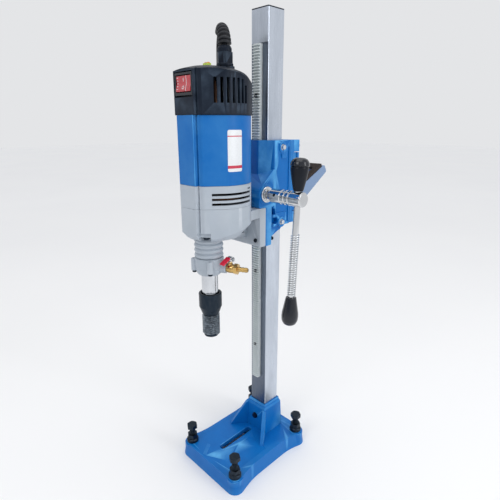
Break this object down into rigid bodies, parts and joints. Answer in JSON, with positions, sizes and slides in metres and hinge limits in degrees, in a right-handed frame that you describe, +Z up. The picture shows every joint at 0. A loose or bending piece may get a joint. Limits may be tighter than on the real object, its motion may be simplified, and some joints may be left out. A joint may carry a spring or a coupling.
{
  "type": "core drill rig",
  "caption": "Wet core drill on a square column stand: a crank and rack drive the motor carriage above a cast base with levelling screws, an anchor slot and a water valve.",
  "frame": {"origin": "point on the base's underside under the column's axis, on the floor", "axes": "+Z up along the column, -Y towards the drill, +X towards the crank"},
  "size_m": [0.2552, 0.3317, 0.855],
  "materials": {
    "blue_enamel": "gloss enamel on cast iron",
    "blue_motor": "satin enamel on a die-cast motor body",
    "grey_casting": "fine-textured grey coating",
    "galvanised": "bright drawn steel tube",
    "zinc": "zinc plated",
    "chrome": "polished chrome",
    "dark_steel": "black oxide",
    "black_plastic": "fine-textured black moulding",
    "gloss_black": "smooth black moulding",
    "switch_red": "smooth translucent red moulding",
    "lever_red": "soft red sleeve over plated steel",
    "brass": "turned brass",
    "black_rubber": "black rubber",
    "vial_green": "clear green vial",
    "winding": "varnished laminations and copper windings",
    "handle_coat": "satin grey-blue coating",
    "guide_nylon": "plain nylon"
  },
  "bodies": {
    "stand": {"base_plate": "blue_enamel", "column_tube": "galvanised", "column_top_plug": "black_plastic", "gear_rack": "zinc", "column_bolt": "dark_steel", "lock_nut_fl": "dark_steel", "lock_nut_fr": "dark_steel", "lock_nut_rl": "dark_steel", "lock_nut_rr": "dark_steel"},
    "level_fl": {"levelling_screw_fl": "dark_steel"},
    "level_fr": {"levelling_screw_fr": "dark_steel"},
    "level_rl": {"levelling_screw_rl": "dark_steel"},
    "level_rr": {"levelling_screw_rr": "dark_steel"},
    "carriage": {"carriage_housing": "blue_enamel", "rear_clamp": "blue_enamel", "guide_pad_left": "guide_nylon", "guide_pad_right": "guide_nylon", "pad_bolt_right_lower": "zinc", "pad_bolt_right_upper": "zinc", "pad_bolt_left_lower": "zinc", "pad_bolt_left_upper": "zinc", "bearing_flange_right": "chrome", "bearing_flange_left": "chrome", "rear_handle": "handle_coat", "handle_pad": "black_rubber", "motor_bracket": "grey_casting", "bracket_screw_right": "dark_steel", "bracket_screw_left": "dark_steel", "motor_housing": "blue_motor", "rear_cap": "black_plastic", "vent_ring": "grey_casting", "gear_case": "grey_casting", "gear_case_screw_front": "dark_steel", "gear_case_screw_side": "dark_steel", "switch_bezel": "gloss_black", "bubble_level": "vial_green", "gland_nut": "black_plastic", "stator": "winding", "neck_housing": "grey_casting", "water_housing": "grey_casting", "water_screw_front": "dark_steel", "water_screw_side": "dark_steel", "valve_body": "brass", "strain_boot": "black_rubber", "power_cord": "black_rubber", "cord_coil": "black_rubber", "cord_tie": "black_plastic", "cord_plug": "black_rubber"},
    "crank": {"pinion_shaft": "zinc", "crank_hub": "chrome"},
    "crank_handle": {"crank_bar": "chrome", "crank_spring": "zinc", "crank_grip_upper": "gloss_black", "crank_grip_lower": "gloss_black"},
    "switch": {"switch_rocker": "switch_red"},
    "valve": {"valve_lever": "lever_red"},
    "spindle": {"output_spindle": "zinc", "thread_adapter": "dark_steel"},
    "counter_gears": {"countershaft": "zinc"},
    "rotor": {"armature": "winding"}
  },
  "joints": [
    {"name": "level_screw_fl", "type": "slide", "parent": "stand", "child": "level_fl", "axis": [0, 0, 1], "range_m": [-0.012, 0.012]},
    {"name": "level_screw_fr", "type": "slide", "parent": "stand", "child": "level_fr", "axis": [0, 0, 1], "range_m": [-0.012, 0.012]},
    {"name": "level_screw_rl", "type": "slide", "parent": "stand", "child": "level_rl", "axis": [0, 0, 1], "range_m": [-0.012, 0.012]},
    {"name": "level_screw_rr", "type": "slide", "parent": "stand", "child": "level_rr", "axis": [0, 0, 1], "range_m": [-0.012, 0.012]},
    {"name": "carriage_feed", "type": "slide", "parent": "stand", "child": "carriage", "axis": [0, 0, 1], "range_m": [-0.26, 0.2]},
    {"name": "crank_turn", "type": "hinge", "parent": "carriage", "child": "crank", "pos_m": [0, -0.0435, 0.552], "axis": [1, 0, 0], "range_deg": [-770, 1000]},
    {"name": "crank_bar_slide", "type": "slide", "parent": "crank", "child": "crank_handle", "axis": [0, 0.0558, 0.9984], "range_m": [0, 0.044]},
    {"name": "switch_tilt", "type": "hinge", "parent": "carriage", "child": "switch", "pos_m": [0, -0.1745, 0.727], "axis": [1, 0, 0], "range_deg": [0, 8]},
    {"name": "valve_turn", "type": "hinge", "parent": "carriage", "child": "valve", "pos_m": [0.0358, -0.12591, 0.45], "axis": [0, 0, 1], "range_deg": [0, 90]},
    {"name": "rotor_spin", "type": "hinge", "parent": "carriage", "child": "rotor", "pos_m": [0, -0.1205, 0.6], "axis": [0, 0, 1], "continuous": true},
    {"name": "counter_spin", "type": "hinge", "parent": "carriage", "child": "counter_gears", "pos_m": [0.0214, -0.1246, 0.51], "axis": [0, 0, 1], "continuous": true},
    {"name": "spindle_spin", "type": "hinge", "parent": "carriage", "child": "spindle", "pos_m": [0, -0.1426, 0.45], "axis": [0, 0, 1], "continuous": true}
  ],
  "couplings": [
    {"joint": "crank_turn", "follows": "carriage_feed", "rad_per_m": -66.667},
    {"joint": "counter_spin", "follows": "rotor_spin", "ratio": -0.26667},
    {"joint": "spindle_spin", "follows": "rotor_spin", "ratio": 0.069136}
  ]
}
